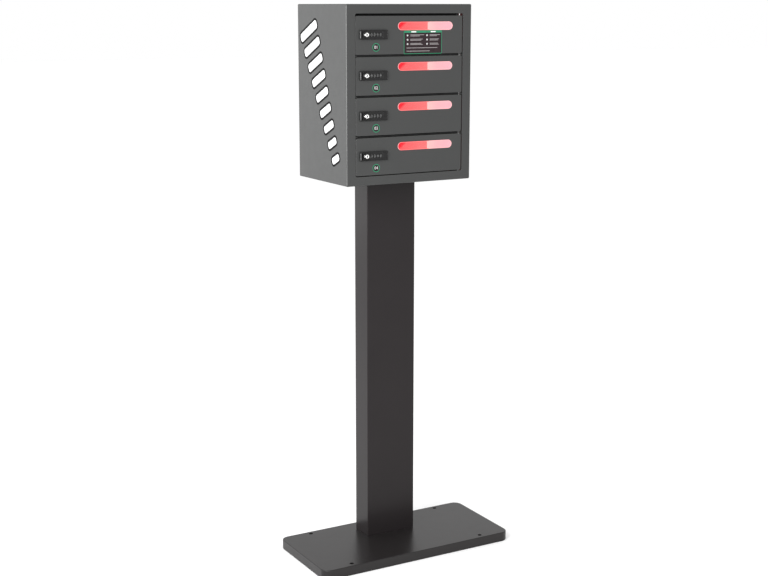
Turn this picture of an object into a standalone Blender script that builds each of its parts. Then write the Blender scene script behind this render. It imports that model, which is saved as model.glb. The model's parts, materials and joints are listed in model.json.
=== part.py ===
"""Phone charging locker on a pedestal stand: a sheet-steel cabinet with four hinged doors on a column.

Metres, +Z up, the doors face -Y. The origin is the centre of the base's underside.
"""

import math

import bmesh
import bpy
from mathutils import Matrix, Vector

MM = 0.001
GAP = 0.3 * MM
SHEET = 1.5 * MM
REACH = 5 * MM

# Foot
BASE_SIZE = (507 * MM, 237 * MM, 23.2 * MM)
BASE_CORNER = 20 * MM
BASE_SHEET = 2 * MM
BASE_PLATE_H = 12 * MM
ANCHOR_X = 176.5 * MM
ANCHOR_Y = 105 * MM
ANCHOR_R = 5 * MM

# Column
COLUMN_SIZE = (127.8 * MM, 60.4 * MM)
COLUMN_Y = 52 * MM
COLUMN_WALL = 2 * MM
COLUMN_CORNER = 1.6 * MM
FOOT_FLANGE = (220 * MM, 110 * MM, 6 * MM)
TOP_PLATE_H = 5 * MM
CABLE_HOLE_R = 10 * MM
CABINET_BOLT = (44 * MM, 14 * MM)
BOLT_HOLE_R = 3.3 * MM

# Cabinet
CABINET_SIZE = (322.6 * MM, 237.7 * MM, 397 * MM)
CABINET_Y = 56.1 * MM
CABINET_BOTTOM = 890.1 * MM
CABINET_BEND = 2.4 * MM
OPENING_HALF_W = 138.9 * MM
OPENING_MARGIN_Z = 20.3 * MM
OPENING_CORNER = 4 * MM
FRAME_RETURN = 10 * MM
STOP_DEPTH = 14 * MM
STOP_OVERLAP = 3 * MM
BACK_RETURN = 14 * MM
COMPARTMENT_DEPTH = 188 * MM

# Doors
DOORS = 4
DOOR_PITCH = 88.5 * MM
DOOR_H = 83.5 * MM
DOOR_LEFT = -138.1 * MM
DOOR_RIGHT = 136.4 * MM
DOOR_PAN = 12 * MM
DOOR_CORNER = 3 * MM
FIRST_DOOR_TOP = 25.6 * MM
HINGE_X = 131.9 * MM
HINGE_DEPTH = 4 * MM
HINGE_ROD_R = 2 * MM
ROD_HEAD_R = 3.2 * MM
WINDOW_X = 39.8 * MM
WINDOW_SIZE = (142.5 * MM, 18.4 * MM)
WINDOW_BELOW_TOP = 22.2 * MM
PANE_LAP = 6 * MM
PANE_H = 2 * MM

# Locks, measured from the door's top edge and the door's outer face
LOCK_X = -94 * MM
LOCK_BELOW_TOP = 40.3 * MM
BEZEL_SIZE = (70 * MM, 21 * MM)
BEZEL_PROUD = 4 * MM
BEZEL_CORNER = 2 * MM
LOCK_BODY = (61 * MM, 16.6 * MM)
LOCK_BODY_DEPTH = 13 * MM
KNOB_X = -113 * MM
KNOB_R = 9 * MM
KNOB_PROUD = 2.6 * MM
SPINDLE_R = 3 * MM
CAM_DEPTH = 16.5 * MM
CAM_H = 2 * MM
CAM_LENGTH = 28 * MM
CAM_WIDTH = 12 * MM
DIALS = 4
DIAL_X = -100 * MM
DIAL_PITCH = 7.5 * MM
DIAL_WIDTH = 5.2 * MM
DIAL_R = 6.5 * MM
DIAL_BORE_R = 1.8 * MM
DIAL_PROUD = 0.9 * MM

# Inside
USB_SIZE = (56 * MM, 14 * MM, 24 * MM)
USB_X = -75 * MM
USB_PORT = (12.8 * MM, 9 * MM, 5.4 * MM)
USB_PORT_STEP = 13 * MM
USB_DROP = 0.62 * DOOR_H
LED_SIZE = (230 * MM, 10 * MM, 5 * MM)
LED_DEPTH = 22 * MM
BAY_LEFT = -150 * MM
POWER_SIZE = (199 * MM, 38 * MM, 98 * MM)
POWER_BELOW_TOP = 150 * MM
TERMINAL_DEPTH = 14 * MM
BOARD_SIZE = (130 * MM, 1.6 * MM, 90 * MM)
BOARD_ABOVE_BOTTOM = 60 * MM
BOARD_STANDOFF = 8 * MM
BOARD_POST_INSET = 4 * MM
BOARD_POST_R = 3 * MM
CONNECTOR_SIZE = (18 * MM, 8 * MM, 10 * MM)
CONNECTOR_PITCH = 30 * MM
CHIP_SIZE = (22 * MM, 4 * MM, 22 * MM)
INLET_X = 95 * MM
INLET_Z = CABINET_BOTTOM + 45 * MM
INLET_FLANGE = (50 * MM, 3 * MM, 34 * MM)
INLET_BODY = (29 * MM, 22 * MM, 23 * MM)
INLET_WELL = (24.5 * MM, 16 * MM, 17 * MM)
INLET_PIN = (2 * MM, 9 * MM, 4 * MM)
INLET_PINS = [(-7 * MM, -2 * MM), (0, 2 * MM), (7 * MM, -2 * MM)]
VENT_X = 80 * MM
VENT_SIZE = (60 * MM, 4 * MM)
VENT_BELOW_TOP = 46 * MM
VENT_PITCH = 12 * MM
VENT_ROWS = 6

FRONT_Y = CABINET_Y - CABINET_SIZE[1] / 2
BACK_Y = CABINET_Y + CABINET_SIZE[1] / 2
CABINET_TOP = CABINET_BOTTOM + CABINET_SIZE[2]
CABINET_MID_Z = CABINET_BOTTOM + CABINET_SIZE[2] / 2
INNER_HALF_W = CABINET_SIZE[0] / 2 - SHEET
REAR_WALL_Y = FRONT_Y + COMPARTMENT_DEPTH
HINGE_Y = FRONT_Y + HINGE_DEPTH
BAY_Y = REAR_WALL_Y + SHEET

COLOURS = {
    "powder_coat": ((0.033, 0.034, 0.0335), 0.38, 0.0),
    "stand_coat": ((0.0145, 0.0128, 0.013), 0.3, 0.0),
    "steel": ((0.45, 0.45, 0.44), 0.35, 1.0),
    "plate_steel": ((0.12, 0.12, 0.12), 0.6, 0.6),
    "lock_black": ((0.012, 0.012, 0.012), 0.3, 0.0),
    "dial_black": ((0.02, 0.02, 0.02), 0.45, 0.0),
    "window": ((0.9, 0.25, 0.25), 0.1, 0.0),
    "light": ((1.0, 0.08, 0.1), 0.4, 0.0),
    "module": ((0.03, 0.03, 0.03), 0.5, 0.0),
    "supply": ((0.6, 0.6, 0.6), 0.4, 0.9),
    "board": ((0.02, 0.15, 0.06), 0.5, 0.0),
}


def clear_scene():
    for obj in list(bpy.data.objects):
        bpy.data.objects.remove(obj, do_unlink=True)


def material(slot):
    found = bpy.data.materials.get(slot)
    if found:
        return found
    colour, roughness, metallic = COLOURS[slot]
    made = bpy.data.materials.new(slot)
    made.use_nodes = True
    shader = made.node_tree.nodes["Principled BSDF"]
    shader.inputs["Base Color"].default_value = (*colour, 1)
    shader.inputs["Roughness"].default_value = roughness
    shader.inputs["Metallic"].default_value = metallic
    return made


def link(name, bm, slot=None):
    """An object made from a bmesh. With no slot it is a cutter, left out of the model."""
    bmesh.ops.recalc_face_normals(bm, faces=bm.faces)
    mesh = bpy.data.meshes.new(name)
    bm.to_mesh(mesh)
    bm.free()
    obj = bpy.data.objects.new(name, mesh)
    bpy.context.scene.collection.objects.link(obj)
    if slot:
        mesh.materials.append(material(slot))
    else:
        obj.hide_render = True
        obj.display_type = "WIRE"
    return obj


def prism(name, outline, axis, low, high, slot=None):
    """An outline extruded along an axis. Its two numbers are the other two axes in X, Y, Z order."""
    index = "XYZ".index(axis)
    bm = bmesh.new()
    points = []
    for pair in outline:
        point = list(pair)
        point.insert(index, low)
        points.append(bm.verts.new(point))
    face = bm.faces.new(points)
    moved = bmesh.ops.extrude_face_region(bm, geom=[face])["geom"]
    step = Vector((0, 0, 0))
    step[index] = high - low
    bmesh.ops.translate(bm, vec=step, verts=[v for v in moved if isinstance(v, bmesh.types.BMVert)])
    return link(name, bm, slot)


def box(name, low, high, slot=None):
    outline = [(low[0], low[1]), (high[0], low[1]), (high[0], high[1]), (low[0], high[1])]
    return prism(name, outline, "Z", low[2], high[2], slot)


def centred_box(name, centre, size, slot=None):
    low = [c - s / 2 for c, s in zip(centre, size)]
    high = [c + s / 2 for c, s in zip(centre, size)]
    return box(name, low, high, slot)


def rounded(centre, size, radius, steps=3):
    """A rectangle with round corners, or a slot with round ends where the radius is half its height."""
    points = []
    for quarter, (sx, sy) in enumerate([(1, 1), (-1, 1), (-1, -1), (1, -1)]):
        cx = centre[0] + sx * (size[0] / 2 - radius)
        cy = centre[1] + sy * (size[1] / 2 - radius)
        for step in range(steps + 1):
            angle = math.radians(90) * (quarter + step / steps)
            point = (cx + radius * math.cos(angle), cy + radius * math.sin(angle))
            if not points or math.dist(points[-1], point) > GAP / 10:
                points.append(point)
    return points


def circle(centre, radius, steps=12):
    angles = [2 * math.pi * (step + 0.5) / steps for step in range(steps)]
    return [(centre[0] + radius * math.cos(a), centre[1] + radius * math.sin(a)) for a in angles]


def cut(obj, *cutters):
    for cutter in cutters:
        modifier = obj.modifiers.new(cutter.name, "BOOLEAN")
        modifier.object = cutter


def add(obj, *extras):
    """Joins further shapes to an object. The extras are helpers, left out of the model."""
    for extra in extras:
        modifier = obj.modifiers.new(extra.name, "BOOLEAN")
        modifier.operation = "UNION"
        modifier.object = extra


def round_edges(obj, width, segments=2):
    modifier = obj.modifiers.new("bends", "BEVEL")
    modifier.width = width
    modifier.segments = segments
    modifier.limit_method = "ANGLE"
    modifier.angle_limit = math.radians(50)


def set_pivot(obj, point):
    """Moves the object's origin to its joint's axis and leaves its surface where it is."""
    pivot = Vector(point)
    obj.data.transform(Matrix.Translation(-pivot))
    obj.location = pivot


def place_pivot(name, point, parent=None):
    empty = bpy.data.objects.new(name, None)
    empty.empty_display_size = 10 * MM
    bpy.context.scene.collection.objects.link(empty)
    empty.location = Vector(point) - (parent.location if parent else Vector())
    empty.parent = parent
    return empty


def hang(obj, pivot, point):
    """Parents an object to an empty whose world position is given."""
    obj.parent = pivot
    obj.location = obj.location - Vector(point)


def anchor_cutters(prefix):
    for index, (sx, sy) in enumerate([(1, 1), (-1, 1), (-1, -1), (1, -1)]):
        hole = circle((sx * ANCHOR_X, sy * ANCHOR_Y), ANCHOR_R)
        yield prism(f"{prefix}_hole_{index + 1}", hole, "Z", -REACH, BASE_SIZE[2] + REACH)


def make_base():
    width, depth, height = BASE_SIZE
    cover = prism("base_cover", rounded((0, 0), (width, depth), BASE_CORNER, 6), "Z", 0, height, "stand_coat")
    round_edges(cover, BASE_SHEET)
    inner_size = (width - 2 * BASE_SHEET, depth - 2 * BASE_SHEET)
    inner = rounded((0, 0), inner_size, BASE_CORNER - BASE_SHEET, 6)
    cut(cover, prism("cover_hollow", inner, "Z", -REACH, height - BASE_SHEET))
    column_slot = (COLUMN_SIZE[0] + 2 * GAP, COLUMN_SIZE[1] + 2 * GAP)
    slot = rounded((0, COLUMN_Y), column_slot, COLUMN_CORNER + GAP)
    cut(cover, prism("cover_column_slot", slot, "Z", 0, height + REACH))
    cut(cover, *anchor_cutters("cover"))

    plate_size = [side - 2 * GAP for side in inner_size]
    outline = rounded((0, 0), plate_size, BASE_CORNER - BASE_SHEET - GAP, 6)
    plate = prism("base_plate", outline, "Z", 0, BASE_PLATE_H, "plate_steel")
    cut(plate, *anchor_cutters("plate"))


def make_column():
    foot_z = BASE_PLATE_H + GAP
    flange_top = foot_z + FOOT_FLANGE[2]
    flange = centred_box("column_foot_flange", (0, COLUMN_Y, foot_z + FOOT_FLANGE[2] / 2), FOOT_FLANGE, "plate_steel")
    cable_hole = circle((0, COLUMN_Y), CABLE_HOLE_R)
    cut(flange, prism("flange_cable_hole", cable_hole, "Z", 0, flange_top + REACH))

    column_bottom = flange_top + GAP
    column_top = CABINET_BOTTOM - GAP
    outline = rounded((0, COLUMN_Y), COLUMN_SIZE, COLUMN_CORNER)
    column = prism("column", outline, "Z", column_bottom, column_top, "stand_coat")
    bore_size = [side - 2 * COLUMN_WALL for side in COLUMN_SIZE]
    low = [-bore_size[0] / 2, COLUMN_Y - bore_size[1] / 2, 0]
    high = [bore_size[0] / 2, COLUMN_Y + bore_size[1] / 2, column_top + REACH]
    cut(column, box("column_bore", low, high))

    plate_size = (bore_size[0] - 2 * GAP, bore_size[1] - 2 * GAP, TOP_PLATE_H)
    centre = (0, COLUMN_Y, column_top - TOP_PLATE_H / 2)
    plate = centred_box("column_top_plate", centre, plate_size, "plate_steel")
    cut(plate, prism("top_plate_cable_hole", cable_hole, "Z", column_top - 2 * REACH, column_top + REACH))
    cut(plate, *bolt_cutters("top_plate"))


def bolt_cutters(prefix):
    """The four bolt holes between the column's top plate and the cabinet's floor."""
    for index, (sx, sy) in enumerate([(1, 1), (-1, 1), (-1, -1), (1, -1)]):
        hole = circle((sx * CABINET_BOLT[0], COLUMN_Y + sy * CABINET_BOLT[1]), BOLT_HOLE_R, 8)
        yield prism(f"{prefix}_bolt_{index + 1}", hole, "Z", CABINET_BOTTOM - 2 * REACH, CABINET_BOTTOM + REACH)


def make_cabinet_shell():
    half_w = CABINET_SIZE[0] / 2
    floor_z = CABINET_BOTTOM + SHEET
    roof_z = CABINET_TOP - SHEET
    inside = roof_z - floor_z
    shell = box("cabinet_shell", (-half_w, FRONT_Y, CABINET_BOTTOM), (half_w, BACK_Y, CABINET_TOP), "powder_coat")
    round_edges(shell, CABINET_BEND)

    hollow_low = (-INNER_HALF_W, FRONT_Y + FRAME_RETURN, floor_z)
    hollow_high = (INNER_HALF_W, BACK_Y - GAP - 2 * SHEET, roof_z)
    cut(shell, box("shell_hollow", hollow_low, hollow_high))

    opening_h = CABINET_SIZE[2] - 2 * OPENING_MARGIN_Z
    opening_size = (2 * OPENING_HALF_W, opening_h)
    opening = rounded((0, CABINET_MID_Z), opening_size, OPENING_CORNER)
    cut(shell, prism("shell_opening", opening, "Y", FRONT_Y - REACH, FRONT_Y + FRAME_RETURN + REACH))

    behind = prism(
        "shell_behind_frame",
        [(-INNER_HALF_W, floor_z), (INNER_HALF_W, floor_z), (INNER_HALF_W, roof_z), (-INNER_HALF_W, roof_z)],
        "Y",
        FRONT_Y + SHEET,
        FRONT_Y + FRAME_RETURN + 1 * MM,
    )
    lip_size = [side + 2 * SHEET for side in opening_size]
    lip = rounded((0, CABINET_MID_Z), lip_size, OPENING_CORNER + SHEET)
    cut(behind, prism("shell_lip", lip, "Y", FRONT_Y - REACH, FRONT_Y + FRAME_RETURN + REACH))
    cut(shell, behind)

    add(shell, *door_stops(opening_h / 2))

    back_half_w = INNER_HALF_W - BACK_RETURN
    through_low = (-back_half_w, BACK_Y - 4 * SHEET, floor_z)
    cut(shell, box("shell_back_opening", through_low, (back_half_w, BACK_Y + REACH, roof_z)))
    seat_low = (-INNER_HALF_W, BACK_Y - SHEET - GAP, floor_z)
    cut(shell, box("shell_back_seat", seat_low, (INNER_HALF_W, BACK_Y + REACH, floor_z + inside)))

    rod_hole = circle((HINGE_X, HINGE_Y), HINGE_ROD_R + GAP)
    rod_low, rod_high = hinge_rod_ends()
    cut(shell, prism("shell_rod_hole", rod_hole, "Z", rod_low - 1 * MM, rod_high))
    cable_hole = circle((0, COLUMN_Y), CABLE_HOLE_R)
    cut(shell, prism("shell_cable_hole", cable_hole, "Z", CABINET_BOTTOM - REACH, CABINET_BOTTOM + REACH))
    cut(shell, *bolt_cutters("shell"))


def door_stops(half_h):
    """Angles behind the frame's upper and lower lips, which the first and last doors close against."""
    stops = []
    half_w = OPENING_HALF_W - OPENING_CORNER
    near = FRONT_Y + FRAME_RETURN - 1 * MM
    far = FRONT_Y + STOP_DEPTH + SHEET
    upper_gap = FIRST_DOOR_TOP - OPENING_MARGIN_Z
    lower_gap = (DOOR_PITCH - DOOR_H) / 2
    for side, name, gap in ((1, "upper", upper_gap), (-1, "lower", lower_gap)):
        lip = CABINET_MID_Z + side * half_h
        tip = lip - side * (gap + STOP_OVERLAP)
        outer = lip + side * SHEET
        outline = [(near, outer), (near, lip), (far - SHEET, lip), (far - SHEET, tip), (far, tip), (far, outer)]
        stops.append(prism(f"shell_{name}_stop", outline, "X", -half_w, half_w))
    return stops


def hinge_rod_ends():
    """The rod passes through the frame's lower and upper lips."""
    low = CABINET_BOTTOM + OPENING_MARGIN_Z - 4 * SHEET
    high = CABINET_TOP - OPENING_MARGIN_Z + 4 * SHEET
    return low, high


def make_hinge_rod():
    low, high = hinge_rod_ends()
    rod = prism("hinge_rod", circle((HINGE_X, HINGE_Y), HINGE_ROD_R), "Z", low, high, "steel")
    head_z = CABINET_TOP - OPENING_MARGIN_Z + SHEET + GAP
    head = circle((HINGE_X, FRONT_Y + SHEET + GAP + ROD_HEAD_R), ROD_HEAD_R)
    add(rod, prism("rod_head", head, "Z", head_z, high))


def make_shelf(index):
    """A shelf between two compartments, with the upright strip that the doors above and below close against.

    It is narrow between the frame's lips, and has the full width behind them.
    """
    centre_z = door_top(index) - DOOR_H - (DOOR_PITCH - DOOR_H) / 2
    front = FRONT_Y + 0.8 * MM
    wide_y = FRONT_Y + FRAME_RETURN + GAP
    back = REAR_WALL_Y - GAP
    tongue = OPENING_HALF_W - GAP
    side = INNER_HALF_W - GAP
    outline = [
        (-tongue, front),
        (tongue, front),
        (tongue, wide_y),
        (side, wide_y),
        (side, back),
        (-side, back),
        (-side, wide_y),
        (-tongue, wide_y),
    ]
    shelf = prism(f"shelf_{index + 1}", outline, "Z", centre_z - SHEET / 2, centre_z + SHEET / 2, "powder_coat")
    half_stop = (DOOR_PITCH - DOOR_H) / 2 + STOP_OVERLAP
    near = FRONT_Y + STOP_DEPTH
    stop_low = (-tongue, near, centre_z - half_stop)
    add(shelf, box(f"shelf_stop_{index + 1}", stop_low, (tongue, near + SHEET, centre_z + half_stop)))
    hole = circle((HINGE_X, HINGE_Y), HINGE_ROD_R + GAP)
    cut(shelf, prism(f"shelf_rod_hole_{index + 1}", hole, "Z", centre_z - REACH, centre_z + REACH))


def door_top(index):
    return CABINET_TOP - FIRST_DOOR_TOP - index * DOOR_PITCH


def make_door(index):
    top = door_top(index)
    middle = ((DOOR_LEFT + DOOR_RIGHT) / 2, top - DOOR_H / 2)
    size = (DOOR_RIGHT - DOOR_LEFT, DOOR_H)
    name = f"door_{index + 1}"
    outline = rounded(middle, size, DOOR_CORNER)
    door = prism(name, outline, "Y", FRONT_Y, FRONT_Y + DOOR_PAN, "powder_coat")

    hollow_size = [side - 2 * SHEET for side in size]
    hollow = rounded(middle, hollow_size, DOOR_CORNER - SHEET)
    cut(door, prism(f"{name}_hollow", hollow, "Y", FRONT_Y + SHEET, FRONT_Y + DOOR_PAN + REACH))
    slot = rounded((WINDOW_X, top - WINDOW_BELOW_TOP), WINDOW_SIZE, WINDOW_SIZE[1] / 2, 5)
    cut(door, prism(f"{name}_window", slot, "Y", FRONT_Y - REACH, FRONT_Y + REACH))
    lock_z = top - LOCK_BELOW_TOP
    body = [side + 2 * GAP for side in LOCK_BODY]
    lock_hole = rounded((LOCK_X, lock_z), body, BEZEL_CORNER)
    cut(door, prism(f"{name}_lock_hole", lock_hole, "Y", FRONT_Y - REACH, FRONT_Y + REACH))
    rod_hole = circle((HINGE_X, HINGE_Y), HINGE_ROD_R + GAP)
    cut(door, prism(f"{name}_rod_hole", rod_hole, "Z", top - DOOR_H - REACH, top + REACH))

    point = (HINGE_X, HINGE_Y, top - DOOR_H / 2)
    pivot = place_pivot(f"{name}_hinge", point)
    hang(door, pivot, point)
    hang(make_pane(index), pivot, point)
    make_lock(index, lock_z, pivot, point)


def make_pane(index):
    name = f"window_pane_{index + 1}"
    centre = (WINDOW_X, door_top(index) - WINDOW_BELOW_TOP)
    size = [side + 2 * PANE_LAP for side in WINDOW_SIZE]
    front = FRONT_Y + SHEET + GAP
    return prism(name, rounded(centre, size, 4 * MM, 2), "Y", front, front + PANE_H, "window")


def make_lock(index, lock_z, pivot, door_point):
    number = index + 1
    bezel_back = FRONT_Y - GAP
    bezel_front = FRONT_Y - BEZEL_PROUD
    bezel = rounded((LOCK_X, lock_z), BEZEL_SIZE, BEZEL_CORNER, 2)
    housing = prism(f"lock_housing_{number}", bezel, "Y", bezel_front, bezel_back, "lock_black")
    round_edges(housing, 0.8 * MM)
    body = rounded((LOCK_X, lock_z), LOCK_BODY, BEZEL_CORNER - GAP, 1)
    body_back = FRONT_Y + LOCK_BODY_DEPTH
    add(housing, prism(f"lock_body_{number}", body, "Y", FRONT_Y - BEZEL_PROUD / 2, body_back))
    spindle_hole = circle((KNOB_X, lock_z), SPINDLE_R + GAP)
    cut(housing, prism(f"lock_spindle_hole_{number}", spindle_hole, "Y", bezel_front - REACH, body_back + REACH))
    hang(housing, pivot, door_point)

    wheel_y = bezel_front - DIAL_PROUD + DIAL_R
    for dial in range(DIALS):
        x = DIAL_X + dial * DIAL_PITCH
        cut(housing, make_dial_pocket(f"dial_pocket_{number}_{dial + 1}", x, wheel_y, lock_z))
        wheel = make_dial(f"dial_{number}_{dial + 1}", x, wheel_y, lock_z)
        hang(wheel, pivot, door_point)

    knob_point = (KNOB_X, bezel_front, lock_z)
    knob_pivot = place_pivot(f"lock_knob_{number}_axis", knob_point, pivot)
    hang(make_knob(number, bezel_front, lock_z), knob_pivot, knob_point)
    hang(make_cam(number, lock_z), knob_pivot, knob_point)


def make_dial_pocket(name, x, y, z):
    """A ring-shaped recess that leaves the wheel's axle standing in the housing."""
    half = DIAL_WIDTH / 2 + GAP
    ring = prism(name, circle((y, z), DIAL_R + GAP, 16), "X", x - half, x + half)
    core = prism(f"{name}_axle", circle((y, z), DIAL_BORE_R - GAP, 6), "X", x - 2 * half, x + 2 * half)
    cut(ring, core)
    return ring


def make_dial(name, x, y, z):
    half = DIAL_WIDTH / 2
    wheel = prism(name, circle((y, z), DIAL_R, 16), "X", x - half, x + half, "dial_black")
    bore = prism(f"{name}_bore", circle((y, z), DIAL_BORE_R, 6), "X", x - DIAL_WIDTH, x + DIAL_WIDTH)
    set_pivot(wheel, (x, y, z))
    cut(wheel, bore)
    return wheel


def make_knob(number, bezel_front, z):
    seat = bezel_front - GAP
    name = f"lock_knob_{number}"
    knob = prism(name, circle((KNOB_X, z), KNOB_R, 20), "Y", seat - KNOB_PROUD, seat, "lock_black")
    spindle_end = FRONT_Y + CAM_DEPTH + CAM_H + 1 * MM
    spindle = circle((KNOB_X, z), SPINDLE_R)
    add(knob, prism(f"{name}_spindle", spindle, "Y", seat - KNOB_PROUD / 2, spindle_end))
    return knob


def make_cam(number, z):
    """The cam hangs down at rest, which is unlocked. A quarter turn puts it behind the frame's left lip."""
    name = f"lock_cam_{number}"
    length = CAM_LENGTH + CAM_WIDTH
    centre = (KNOB_X, z - CAM_LENGTH / 2)
    outline = rounded(centre, (CAM_WIDTH, length), CAM_WIDTH / 2 - 1 * MM, 2)
    y = FRONT_Y + CAM_DEPTH
    cam = prism(name, outline, "Y", y, y + CAM_H, "steel")
    hole = circle((KNOB_X, z), SPINDLE_R + GAP)
    cut(cam, prism(f"{name}_hole", hole, "Y", y - REACH, y + REACH))
    return cam


def make_rear_wall():
    side = INNER_HALF_W - GAP
    low = (-side, REAR_WALL_Y, CABINET_BOTTOM + SHEET + GAP)
    high = (side, BAY_Y, CABINET_TOP - SHEET - GAP)
    box("inner_rear_wall", low, high, "powder_coat")


def make_usb_module(index):
    name = f"usb_module_{index + 1}"
    centre = Vector((USB_X, REAR_WALL_Y - GAP - USB_SIZE[1] / 2, door_top(index) - USB_DROP))
    module = centred_box(name, centre, USB_SIZE, "module")
    for side in (-1, 1):
        port = Vector((centre.x + side * USB_PORT_STEP, centre.y - USB_SIZE[1] / 2, centre.z))
        size = (USB_PORT[0], 2 * USB_PORT[1], USB_PORT[2])
        cut(module, centred_box(f"{name}_port_{side + 2}", port, size))


def make_led_strip(index):
    """A light strip under the ceiling of each compartment. Its sloping side faces away from the door."""
    ceiling = CABINET_TOP - SHEET if index == 0 else door_top(index) + (DOOR_PITCH - DOOR_H - SHEET) / 2
    high = ceiling - GAP
    low = high - LED_SIZE[2]
    front = FRONT_Y + LED_DEPTH
    back = front + LED_SIZE[1]
    chamfer = LED_SIZE[2] / 2
    outline = [(front, high), (front, low), (back - chamfer, low), (back, low + chamfer), (back, high)]
    half = LED_SIZE[0] / 2
    prism(f"led_strip_{index + 1}", outline, "X", -half, half, "light")


def make_power_supply():
    low = (BAY_LEFT, BAY_Y + GAP, CABINET_TOP - POWER_BELOW_TOP)
    high = [edge + side for edge, side in zip(low, POWER_SIZE)]
    supply = box("power_supply", low, high, "supply")
    recess_low = (high[0] - TERMINAL_DEPTH, low[1] + 2 * MM, low[2] + 5 * MM)
    recess_high = (high[0] + REACH, high[1] - 12 * MM, high[2] - 5 * MM)
    cut(supply, box("supply_terminal_recess", recess_low, recess_high))


def make_control_board():
    low = Vector((BAY_LEFT, BAY_Y + BOARD_STANDOFF, CABINET_BOTTOM + BOARD_ABOVE_BOTTOM))
    high = low + Vector(BOARD_SIZE)
    board = box("control_board", low, high, "board")
    posts_x = (low.x + BOARD_POST_INSET, high.x - BOARD_POST_INSET)
    posts_z = (low.z + BOARD_POST_INSET, high.z - BOARD_POST_INSET)
    for index, (x, z) in enumerate([(x, z) for x in posts_x for z in posts_z]):
        post = circle((x, z), BOARD_POST_R, 8)
        add(board, prism(f"board_post_{index + 1}", post, "Y", BAY_Y + GAP, low.y + BOARD_SIZE[1] / 2))
    for index in range(DOORS):
        x = low.x + 20 * MM + index * CONNECTOR_PITCH
        centre = (x, high.y + 3 * MM, high.z - 12 * MM)
        add(board, centred_box(f"board_connector_{index + 1}", centre, CONNECTOR_SIZE))
    chip = (low.x + BOARD_SIZE[0] / 2, high.y + 1 * MM, low.z + 35 * MM)
    add(board, centred_box("board_chip", chip, CHIP_SIZE))


def make_back_panel():
    side = INNER_HALF_W - GAP
    low = (-side, BACK_Y - SHEET, CABINET_BOTTOM + SHEET + GAP)
    high = (side, BACK_Y, CABINET_TOP - SHEET - GAP)
    panel = box("back_panel", low, high, "powder_coat")
    hole = (INLET_BODY[0] + 2 * GAP, 2 * REACH, INLET_BODY[2] + 2 * GAP)
    cut(panel, centred_box("panel_inlet_hole", (INLET_X, BACK_Y, INLET_Z), hole))
    for column in (-1, 1):
        for row in range(VENT_ROWS):
            centre = (column * VENT_X, CABINET_TOP - VENT_BELOW_TOP - row * VENT_PITCH)
            vent = rounded(centre, VENT_SIZE, VENT_SIZE[1] / 2, 2)
            name = f"panel_vent_{column + 2}_{row + 1}"
            cut(panel, prism(name, vent, "Y", BACK_Y - REACH, BACK_Y + REACH))


def make_mains_inlet():
    """A panel inlet with three flat pins in a well. Its flange lies on the back panel."""
    flange_y = BACK_Y + GAP
    back = flange_y + INLET_FLANGE[1]
    flange = rounded((INLET_X, INLET_Z), (INLET_FLANGE[0], INLET_FLANGE[2]), 4 * MM, 2)
    inlet = prism("mains_inlet", flange, "Y", flange_y, back, "module")
    body_centre = (INLET_X, back - 1 * MM - INLET_BODY[1] / 2, INLET_Z)
    add(inlet, centred_box("inlet_body", body_centre, INLET_BODY))
    well_centre = (INLET_X, back, INLET_Z)
    well = centred_box("inlet_well", well_centre, (INLET_WELL[0], 2 * INLET_WELL[1], INLET_WELL[2]))
    cut(inlet, well)
    floor = back - INLET_WELL[1]
    for index, (dx, dz) in enumerate(INLET_PINS):
        centre = (INLET_X + dx, floor + INLET_PIN[1] / 2 - 0.5 * MM, INLET_Z + dz)
        add(inlet, centred_box(f"inlet_pin_{index + 1}", centre, INLET_PIN))


def shade_smooth():
    """Round pieces are shaded smooth, with sharp edges kept at folds and rims."""
    for obj in bpy.data.objects:
        if obj.type == "MESH":
            obj.data.shade_smooth()
            obj.data.set_sharp_from_angle(angle=math.radians(35))


def main():
    clear_scene()
    make_base()
    make_column()
    make_cabinet_shell()
    make_hinge_rod()
    for index in range(DOORS - 1):
        make_shelf(index)
    for index in range(DOORS):
        make_door(index)
        make_usb_module(index)
        make_led_strip(index)
    make_rear_wall()
    make_power_supply()
    make_control_board()
    make_back_panel()
    make_mains_inlet()
    shade_smooth()


main()
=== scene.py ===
"""Looks of the phone charging locker on its pedestal: finishes, locks, printed films, lights and camera."""

import json
import math

import bmesh
import bpy
from mathutils import Matrix, Vector


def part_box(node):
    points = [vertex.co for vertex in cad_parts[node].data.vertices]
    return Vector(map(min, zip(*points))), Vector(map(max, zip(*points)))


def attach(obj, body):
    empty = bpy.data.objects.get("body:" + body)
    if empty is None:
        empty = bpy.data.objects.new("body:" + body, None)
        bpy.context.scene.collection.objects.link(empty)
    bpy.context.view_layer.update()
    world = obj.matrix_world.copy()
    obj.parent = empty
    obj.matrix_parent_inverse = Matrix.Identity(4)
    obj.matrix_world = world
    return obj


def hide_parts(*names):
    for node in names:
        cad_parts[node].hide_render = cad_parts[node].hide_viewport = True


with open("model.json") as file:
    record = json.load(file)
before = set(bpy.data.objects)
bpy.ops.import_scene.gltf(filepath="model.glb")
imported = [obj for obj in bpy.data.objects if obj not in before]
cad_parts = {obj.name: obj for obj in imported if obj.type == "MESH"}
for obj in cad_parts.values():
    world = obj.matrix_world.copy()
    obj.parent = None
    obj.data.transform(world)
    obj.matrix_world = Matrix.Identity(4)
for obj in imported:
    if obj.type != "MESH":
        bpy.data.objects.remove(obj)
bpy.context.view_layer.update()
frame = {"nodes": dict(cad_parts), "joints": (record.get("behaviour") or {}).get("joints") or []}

MM = 0.001
CABINET_SHEET = 1.5 * MM
NODES = frame["nodes"]
ROWS = range(1, 5)
DIALS = range(1, 5)
SHELVES = range(1, 4)


def corners(node):
    """The lowest and highest corners of a CAD node's box."""
    low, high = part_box(node)
    return Vector(low), Vector(high)


# ---------------------------------------------------------------- materials


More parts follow.
